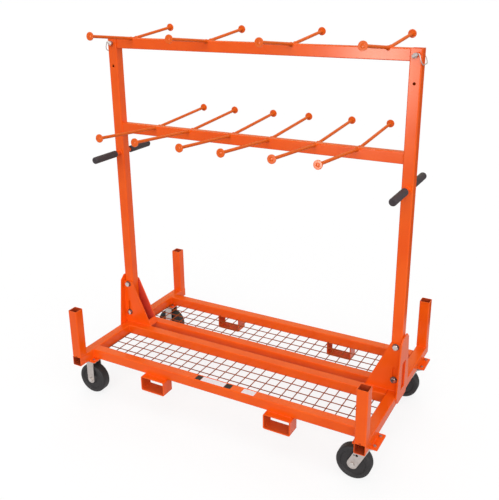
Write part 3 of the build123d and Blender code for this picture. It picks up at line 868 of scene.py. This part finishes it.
washer_low, washer_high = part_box("bracket_washers")
bracket_places = [
    (x, z)
    for x in (washer_low.x + WASHER_RADIUS, washer_high.x - WASHER_RADIUS)
    for z in (washer_low.z + WASHER_RADIUS, washer_high.z - WASHER_RADIUS)
]
bolt_low, bolt_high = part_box("bracket_bolts")
seat = bolt_low.y + BRACKET_HEAD
screw = bolt(BRACKET_HEX, BRACKET_HEAD, BRACKET_RADIUS, bolt_high.y - seat, BRACKET_TAIL, COARSE_PITCH)
places = [Matrix.Translation((x, seat, z)) @ turned_to((0, -1, 0)) for x, z in bracket_places]
dress(spread(screw, "bracket_bolt_set", places), "cart", LIT_ZINC, ["bracket_bolts"])
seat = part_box("bracket_nuts")[0].y
holder = nut(BRACKET_HEX, BRACKET_NUT)
places = [Matrix.Translation((x, seat, z)) @ turned_to((0, 1, 0)) for x, z in bracket_places]
dress(spread(holder, "bracket_nut_set", places), "cart", LIT_ZINC, ["bracket_nuts"])

caster_low, caster_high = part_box("caster_bolts")
outer_x = caster_high.x - CASTER_HEX / 2 / cos(pi / HEX_SIDES)
outer_y = caster_high.y - CASTER_HEX / 2
caster_places = [
    (way_x * (outer_x - across * CASTER_STEP), way_y * (outer_y - along * CASTER_STEP))
    for way_x in (-1, 1)
    for way_y in (-1, 1)
    for across in (0, 1)
    for along in (0, 1)
]
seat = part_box("caster_mount_plates")[1].z
screw = bolt(CASTER_HEX, caster_high.z - seat, CASTER_RADIUS, seat - caster_low.z, CASTER_TAIL, FINE_PITCH)
places = [Matrix.Translation((x, y, seat)) for x, y in caster_places]
dress(spread(screw, "caster_bolt_set", places), "cart", ZINC, ["caster_bolts"])
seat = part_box("caster_nuts")[0].z
holder = nut(CASTER_HEX, CASTER_NUT)
places = [Matrix.Translation((x, y, seat)) for x, y in caster_places]
dress(spread(holder, "caster_nut_set", places), "cart", ZINC, ["caster_nuts"])

low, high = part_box("rigid_axles")
axle_set("rigid_axles", "cart", [(low.y, low.y + AXLE_LENGTH), (high.y - AXLE_LENGTH, high.y)])
for face in ("front", "rear"):
    low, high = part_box(f"{face}_swivel_axle")
    axle_set(f"{face}_swivel_axle", f"{face}_swivel", [(low.y, high.y)])


# Weld beads, painted over with the frame

BEAD_RADIUS = 2.6 * MM
BEAD_PITCH = 3.4 * MM
BEAD_SIDES = 10
BEAD_SWELL = 1.1
# Both parts of a ripple that is one unit long: how long each is, and how it widens or narrows
RIPPLE_PARTS = ((0.6, BEAD_SWELL), (0.4, 1 / BEAD_SWELL))
BEAD_END_INSET = 0.35
BEAD_END_RISE = 0.3
# How far short of a corner a bead stops
CORNER_KEEP = 5 * MM
POCKET_KEEP = 9 * MM
END_PLATE_HIP_DROP = 8 * MM
END_PLATE_FOOT_HALF = 57 * MM
MOUNT_PLATE_LENGTH = 117.07 * MM


def bead_ripple():
    """Model one ripple of a weld bead along +Z, one unit long, as an open ring."""
    ripple = add_piece("ripple", bpy.ops.mesh.primitive_circle_add, vertices=BEAD_SIDES, radius=1)
    edit(ripple)
    bpy.ops.mesh.select_mode(type="EDGE")
    bpy.ops.mesh.select_all(action="SELECT")
    for length, share in RIPPLE_PARTS:
        bpy.ops.mesh.extrude_region_move(TRANSFORM_OT_translate={"value": (0, 0, length)})
        bpy.ops.transform.resize(value=(share, share, 1))
    close_edit()
    return ripple


def bead(ripple, start, stop):
    """Lay a rippled bead from one point to another."""
    run = Vector(stop) - Vector(start)
    count = max(2, round(run.length / BEAD_PITCH))
    line = put(ripple, "bead", Matrix.Identity(4))
    rows = line.modifiers.new("rows", "ARRAY")
    rows.count = count
    rows.use_relative_offset = False
    rows.use_constant_offset = True
    rows.constant_offset_displace = (0, 0, 1)
    rows.use_merge_vertices = True
    bpy.ops.object.modifier_apply(modifier="rows")
    edit(line)
    pick(line, "EDGE", lambda point, edge: edge.is_boundary)
    bpy.ops.mesh.edge_face_add()
    pick(line, "FACE", lambda point, face: len(face.verts) == BEAD_SIDES)
    bpy.ops.mesh.inset(thickness=BEAD_END_INSET, depth=BEAD_END_RISE, use_individual=True)
    bpy.ops.mesh.select_all(action="SELECT")
    bpy.ops.mesh.normals_make_consistent(inside=False)
    close_edit()
    size = Matrix.Diagonal((BEAD_RADIUS, BEAD_RADIUS, run.length / count, 1))
    line.matrix_world = Matrix.Translation(start) @ turned_to(run) @ size
    take(line)
    bpy.ops.object.transform_apply()
    return line


def rail_seams():
    """Upright seams where the four long rails butt against the end rails."""
    for node in ("front_rail", "rear_rail", "front_inner_rail", "rear_inner_rail"):
        low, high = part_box(node)
        for x in (low.x, high.x):
            for y in (low.y, high.y):
                yield (x, y, low.z + CORNER_KEEP), (x, y, high.z - CORNER_KEEP)


def post_seams():
    """One seam at the foot of each post, on its inner side."""
    for face in ("front", "rear"):
        for side in ("left", "right"):
            low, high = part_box(f"{face}_{side}_post")
            y = high.y if face == "front" else low.y
            yield (low.x + CORNER_KEEP, y, low.z), (high.x - CORNER_KEEP, y, low.z)


def bracket_seams():
    """Seams along each gusset's foot, up its back edge, and round the foot of each end plate."""
    hip_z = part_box("front_rail")[1].z - END_PLATE_HIP_DROP
    for side in ("left", "right"):
        plate_low, plate_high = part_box(f"{side}_end_plate")
        x = plate_high.x if side == "left" else plate_low.x
        for face in ("front", "rear"):
            low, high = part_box(f"{side}_{face}_gusset")
            y = low.y if face == "front" else high.y
            yield (low.x + CORNER_KEEP, y, low.z), (high.x - CORNER_KEEP, y, low.z)
            yield (x, y, low.z + CORNER_KEEP), (x, y, high.z - CORNER_KEEP)
        feet = [(x, way * END_PLATE_FOOT_HALF, plate_low.z) for way in (-1, 1)]
        for way, foot in zip((-1, 1), feet):
            yield (x, way * plate_high.y, hip_z), foot
        yield feet


def pocket_seams():
    """Seams between the fork pockets and the rails above them."""
    for face in ("front", "rear"):
        low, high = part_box(f"{face}_fork_pockets")
        rail_low, rail_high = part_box(f"{face}_rail")
        y = rail_low.y if face == "front" else rail_high.y
        for start in (low.x, high.x - POCKET_WIDTH):
            stop = start + POCKET_WIDTH
            yield (start + POCKET_KEEP, y, high.z), (stop - POCKET_KEEP, y, high.z)


def bar_seams():
    """Seams round the ends of the middle bar, against the uprights."""
    low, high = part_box("mid_bar")
    for x in (low.x, high.x):
        for y in (low.y, high.y):
            yield (x, y, low.z + CORNER_KEEP), (x, y, high.z - CORNER_KEEP)
        for z in (low.z, high.z):
            yield (x, low.y + CORNER_KEEP, z), (x, high.y - CORNER_KEEP, z)


def mount_plate_seams():
    """Seams along both sides of the end rails, on the caster mount plates."""
    plate_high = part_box("caster_mount_plates")[1]
    inner = plate_high.y - MOUNT_PLATE_LENGTH + CORNER_KEEP
    outer = plate_high.y - CORNER_KEEP
    for side in ("left", "right"):
        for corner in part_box(f"{side}_end_rail"):
            for way in (-1, 1):
                yield (corner.x, way * inner, plate_high.z), (corner.x, way * outer, plate_high.z)


WELDS = {
    "rail_welds": [*rail_seams(), *post_seams()],
    "bracket_welds": bracket_seams(),
    "pocket_welds": pocket_seams(),
    "bar_welds": bar_seams(),
    "mount_plate_welds": mount_plate_seams(),
}
ripple = bead_ripple()
for name, seams in WELDS.items():
    beads = [bead(ripple, start, stop) for start, stop in seams]
    dress(join(name, beads), "cart", ORANGE, angle=50)
drop(ripple)


# Arms and handles: weld rings where they are joined, and stop discs on the arms' ends

WELD_RIPPLES = 28
WELD_SIDES = 10
# Shares of a ring's size: how far its middle stands off the rod, and how much each second ripple swells
WELD_LAP = 0.35
WELD_SWELL = 0.12
ARM_WELD = 2.6 * MM
HANDLE_WELD = 3.2 * MM
ARM_ROD = 7.15 * MM
MID_ARM_STEP = 196 * MM
MID_ARM_INNER = 101 * MM
TOP_ARM_COUNT = 4
# An arm's root lies this far below the top of its bar, and its end this far above
MID_ROOT_DROP = 8 * MM
TOP_ROOT_DROP = 2.5 * MM
MID_END_RISE = 22 * MM
TOP_END_RISE = 30 * MM
DISC = 38.1 * MM
DISC_THICKNESS = 6 * MM
DISC_SIDES = 48
DISC_ROUND = 1.2 * MM
DISC_ROUND_STEPS = 3
PLUG_RADIUS = 9 * MM
# Rings of the plug weld from its rim to its middle: how far each goes in, and how far it rises
PLUG_STEPS = (
    (0.7 * MM, -0.9 * MM),
    (0.7 * MM, 0.2 * MM),
    (1.2 * MM, 0.9 * MM),
    (2.2 * MM, 0.5 * MM),
    (2.4 * MM, 0.1 * MM),
)


def weld_ring(rod, size):
    """Model a ring bead round a rod along +Z, with every second ripple swollen."""
    ring = add_piece(
        "ring", bpy.ops.mesh.primitive_torus_add,
        major_radius=rod + size * WELD_LAP, minor_radius=size,
        major_segments=WELD_RIPPLES, minor_segments=WELD_SIDES,
    )
    edit(ring)
    pick(ring, "VERT", lambda point, corner: round(atan2(point.y, point.x) / tau * WELD_RIPPLES) % 2 == 0)
    bpy.ops.transform.shrink_fatten(value=size * WELD_SWELL)
    close_edit()
    return ring


def arm_disc():
    """Model one stop disc on an arm's end along +Z: a rounded rim, and a sunk plug weld in its middle."""
    piece = add_piece(
        "disc", bpy.ops.mesh.primitive_cylinder_add,
        vertices=DISC_SIDES, radius=DISC / 2, depth=DISC_THICKNESS, location=(0, 0, DISC_THICKNESS / 2),
    )
    edit(piece)
    pick(piece, "EDGE", lies_level)
    bpy.ops.mesh.bevel(offset=DISC_ROUND, segments=DISC_ROUND_STEPS)
    pick(piece, "FACE", lambda point, face: face.normal.z > FLAT_END and len(face.verts) == DISC_SIDES)
    bpy.ops.mesh.inset(thickness=DISC / 2 - DISC_ROUND - PLUG_RADIUS)
    for width, rise in PLUG_STEPS:
        bpy.ops.mesh.inset(thickness=width, depth=rise)
    close_edit()
    return piece


mid_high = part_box("mid_arms")[1]
top_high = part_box("top_arms")[1]
mid_bar_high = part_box("mid_bar")[1]
top_bar_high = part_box("top_bar")[1]
mid_outer = mid_high.x - ARM_ROD
mid_arm_xs = [side * x for side in (-1, 1) for x in (MID_ARM_INNER, mid_outer - MID_ARM_STEP, mid_outer)]
top_outer = top_high.x - ARM_ROD
top_arm_xs = [top_outer * (2 * k / (TOP_ARM_COUNT - 1) - 1) for k in range(TOP_ARM_COUNT)]
mid_root_z = mid_bar_high.z - MID_ROOT_DROP
top_root_z = top_bar_high.z - TOP_ROOT_DROP
mid_end_z = mid_bar_high.z + MID_END_RISE
top_end_z = top_bar_high.z + TOP_END_RISE
root_places = []
end_places = []
for way in (-1, 1):
    level = turned_to((0, way, 0))
    mid_slope = turned_to((0, way * (mid_high.y - mid_bar_high.y), mid_end_z - mid_root_z))
    top_slope = turned_to((0, way * top_high.y, top_end_z - top_root_z))
    for x in mid_arm_xs:
        root_places.append(Matrix.Translation((x, way * mid_bar_high.y, mid_root_z)) @ level)
        end_places.append(Matrix.Translation((x, way * mid_high.y, mid_end_z)) @ mid_slope)
    for x in top_arm_xs:
        root_places.append(Matrix.Translation((x, way * top_bar_high.y, top_root_z)) @ level)
        end_places.append(Matrix.Translation((x, way * top_high.y, top_end_z)) @ top_slope)
arm_welds = spread(weld_ring(ARM_ROD, ARM_WELD), "arm_welds", root_places + end_places)
dress(arm_welds, "cart", ROD, angle=60)
dress(spread(arm_disc(), "arm_disc_set", end_places), "cart", DISC_COAT, ["arm_discs"])
places = handle_places(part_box("left_upright")[1].y)
handle_welds = spread(weld_ring(ROD_RADIUS, HANDLE_WELD), "handle_welds", places)
dress(handle_welds, "cart", ORANGE, angle=60)


# Blank strips on the front rail: a white one between two dark ends, and a short white one

LABEL_EDGE = 1.5 * MM
LABEL_EDGE_STEPS = 4
LABEL_THICKNESS = 0.25 * MM
LABEL_WIDTH = 35 * MM
LABEL_SHIFT = -2.5 * MM
LABELS = (
    ("dark_label_left", DARK_VINYL, -115 * MM, -83 * MM),
    ("long_label", WHITE_VINYL, -82 * MM, 45 * MM),
    ("dark_label_right", DARK_VINYL, 46 * MM, 81 * MM),
    ("short_label", WHITE_VINYL, 141 * MM, 206 * MM),
)
rail_low, rail_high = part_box("front_rail")
label_y = (rail_low.y + rail_high.y) / 2 + LABEL_SHIFT
for name, finish, start, stop in LABELS:
    label = add_piece(
        name, bpy.ops.mesh.primitive_plane_add, size=1, location=((start + stop) / 2, label_y, rail_high.z)
    )
    edit(label)
    bpy.ops.mesh.select_all(action="SELECT")
    bpy.ops.transform.resize(value=(stop - start, LABEL_WIDTH, 1))
    bpy.ops.mesh.bevel(offset=LABEL_EDGE, segments=LABEL_EDGE_STEPS, affect="VERTICES")
    bpy.ops.mesh.extrude_region_move(TRANSFORM_OT_translate={"value": (0, 0, LABEL_THICKNESS)})
    bpy.ops.mesh.select_all(action="SELECT")
    bpy.ops.mesh.normals_make_consistent(inside=False)
    close_edit()
    dress(label, "cart", finish)


# Floor, light and camera

scene = bpy.context.scene
scene.view_settings.view_transform = "Standard"
FLOOR_SIZE = 400


def direct_rays(tree):
    """Give 1 for rays that show a backdrop to the camera, in gloss or through glass, and 0 for others."""
    rays = add_node(tree, "ShaderNodeLightPath").outputs
    either = add_node(
        tree, "ShaderNodeMath", {0: rays["Is Camera Ray"], 1: rays["Is Glossy Ray"]}, operation="MAXIMUM"
    )
    seen = add_node(
        tree, "ShaderNodeMath", {0: either.outputs[0], 1: rays["Is Transmission Ray"]}, operation="MAXIMUM"
    )
    return seen.outputs[0]


def white_floor():
    """Pale studio paper: white to the camera and in reflections, with the cart's own soft shadow."""
    material, tree = bare_material("studio_paper")
    paper = add_node(tree, "ShaderNodeBsdfDiffuse", {"Color": paint("#7C7C7C")})
    glow = add_node(tree, "ShaderNodeEmission", {"Color": paint("#FFFFFF"), "Strength": 0.8})
    lit = add_node(tree, "ShaderNodeAddShader", {0: paper.outputs["BSDF"], 1: glow.outputs["Emission"]})
    bounce = add_node(tree, "ShaderNodeBsdfDiffuse", {"Color": paint("#A9A9A9")})
    surface = add_node(
        tree, "ShaderNodeMixShader", {0: direct_rays(tree), 1: bounce.outputs["BSDF"], 2: lit.outputs[0]}
    )
    add_node(tree, "ShaderNodeOutputMaterial", {"Surface": surface.outputs[0]})
    return material


floor = add_piece("studio_floor", bpy.ops.mesh.primitive_plane_add, size=FLOOR_SIZE)
floor.data.materials.append(white_floor())

world = bpy.data.worlds.new("studio")
scene.world = world
world.use_nodes = True
sky = world.node_tree
sky.nodes.clear()
strength = add_node(sky, "ShaderNodeMapRange", {"Value": direct_rays(sky), "To Min": 0.45, "To Max": 1.0})
backdrop = add_node(
    sky, "ShaderNodeBackground", {"Color": paint("#FFFFFF"), "Strength": strength.outputs["Result"]}
)
add_node(sky, "ShaderNodeOutputWorld", {"Surface": backdrop.outputs["Background"]})


def hang(lamp, place, target, **settings):
    """Hang a lamp at a place, facing a target, and set what it is."""
    for name, value in settings.items():
        setattr(lamp, name, value)
    holder = bpy.data.objects.new(lamp.name, lamp)
    scene.collection.objects.link(holder)
    holder.location = place
    holder.rotation_euler = (Vector(target) - Vector(place)).to_track_quat("-Z", "Y").to_euler()
    holder.visible_camera = False
    return holder


lamps = bpy.data.lights
# Broad lamps: the side each shines from, its strength, its spread in degrees, and if the gloss shows it
SUNS = (
    ("overhead_light", (0, -0.2, 1), 0.45, 50, True),
    ("front_fill", (0.25, -1, 0.5), 1.45, 45, True),
    ("right_fill", (1, -0.2, 0.35), 1.2, 60, True),
    ("back_fill", (-0.5, 1, 0.45), 0.8, 60, False),
)
for name, side, power, width, in_gloss in SUNS:
    sun = hang(lamps.new(name, "SUN"), side, (0, 0, 0), energy=power, angle=radians(width))
    sun.visible_glossy = in_gloss
hang(
    lamps.new("front_key", "AREA"), (1.4, -4.2, 1.7), (0.2, 0, 0.9),
    shape="RECTANGLE", size=2.2, size_y=2.0, energy=14,
)
# A card that shows only in the gloss of the bars, the right upright and the discs
sheen = hang(
    lamps.new("sheen_card", "AREA"), (-0.37, -3.0, 1.42), (0.5, 0, 1.7),
    shape="RECTANGLE", size=0.3, size_y=0.85, energy=57, color=paint("#FFF0E2")[:3],
)
sheen.visible_diffuse = False
sheened = bpy.data.collections.new("sheened_pieces")
for name in ("top_bar_finished", "mid_bar_finished", "right_upright_finished", "arm_disc_set"):
    sheened.objects.link(bpy.data.objects[name])
sheen.light_linking.receiver_collection = sheened


def board(name, place, tip, size, tint, strength):
    """Stand a studio board that only the gloss sees, upright or lying."""
    piece = add_piece(
        name, bpy.ops.mesh.primitive_plane_add, size=1, location=place, rotation=(tip, 0, 0)
    )
    edit(piece)
    bpy.ops.mesh.select_all(action="SELECT")
    bpy.ops.transform.resize(value=size, center_override=place)
    close_edit()
    material, tree = bare_material(f"{name}_paper")
    glow = add_node(tree, "ShaderNodeEmission", {"Color": paint(tint), "Strength": strength})
    add_node(tree, "ShaderNodeOutputMaterial", {"Surface": glow.outputs["Emission"]})
    piece.data.materials.append(material)
    piece.visible_camera = False
    piece.visible_diffuse = False
    piece.visible_shadow = False
    piece.visible_transmission = False


# Dark and grey boards to the right keep the sides deep in colour. A cream board behind, with a dark band
# across it, warms the tops.
board("dark_board", (1.2, 1.2, 0.9), pi / 2, (0.9, 1, 1.8), "#FFFFFF", 0.05)
board("grey_board", (1.2, 0.35, 0.002), 0, (0.8, 1.7, 1), "#FFFFFF", 0.55)
board("cream_board", (-2.3, 3.0, 2.2), pi / 2, (8, 1, 2.4), "#FFF8B8", 1.3)
board("low_board", (-2.3, 2.98, 2.15), pi / 2, (8, 1, 0.55), "#FFFFFF", 0.15)

# The camera that was fitted to the photograph
CAMERA_TURN = radians(29.11)
CAMERA_RISE = radians(19.44)
CAMERA_ROLL = radians(-0.73)
CAMERA_PLACE = (1.53501, -2.81626, 2.07982)
PHOTO_SIZE = (499, 500)
FOCAL_PIXELS = 699.78
LENS_AXIS = (245.23, 224.85)
SENSOR = 36
back = Vector(
    (sin(CAMERA_TURN) * cos(CAMERA_RISE), -cos(CAMERA_TURN) * cos(CAMERA_RISE), sin(CAMERA_RISE))
)
right = Vector((cos(CAMERA_TURN), sin(CAMERA_TURN), 0))
up = back.cross(right)
across = right * cos(CAMERA_ROLL) + up * sin(CAMERA_ROLL)
upward = up * cos(CAMERA_ROLL) - right * sin(CAMERA_ROLL)
facing = Matrix((across, upward, back)).transposed().to_4x4()
lens = bpy.data.cameras.new("photo_camera")
lens.sensor_width = SENSOR
lens.lens = FOCAL_PIXELS / max(PHOTO_SIZE) * SENSOR
lens.shift_x = (PHOTO_SIZE[0] / 2 - LENS_AXIS[0]) / max(PHOTO_SIZE)
lens.shift_y = (LENS_AXIS[1] - PHOTO_SIZE[1] / 2) / max(PHOTO_SIZE)
camera = bpy.data.objects.new("photo_camera", lens)
scene.collection.objects.link(camera)
camera.matrix_world = Matrix.Translation(CAMERA_PLACE) @ facing
scene.camera = camera
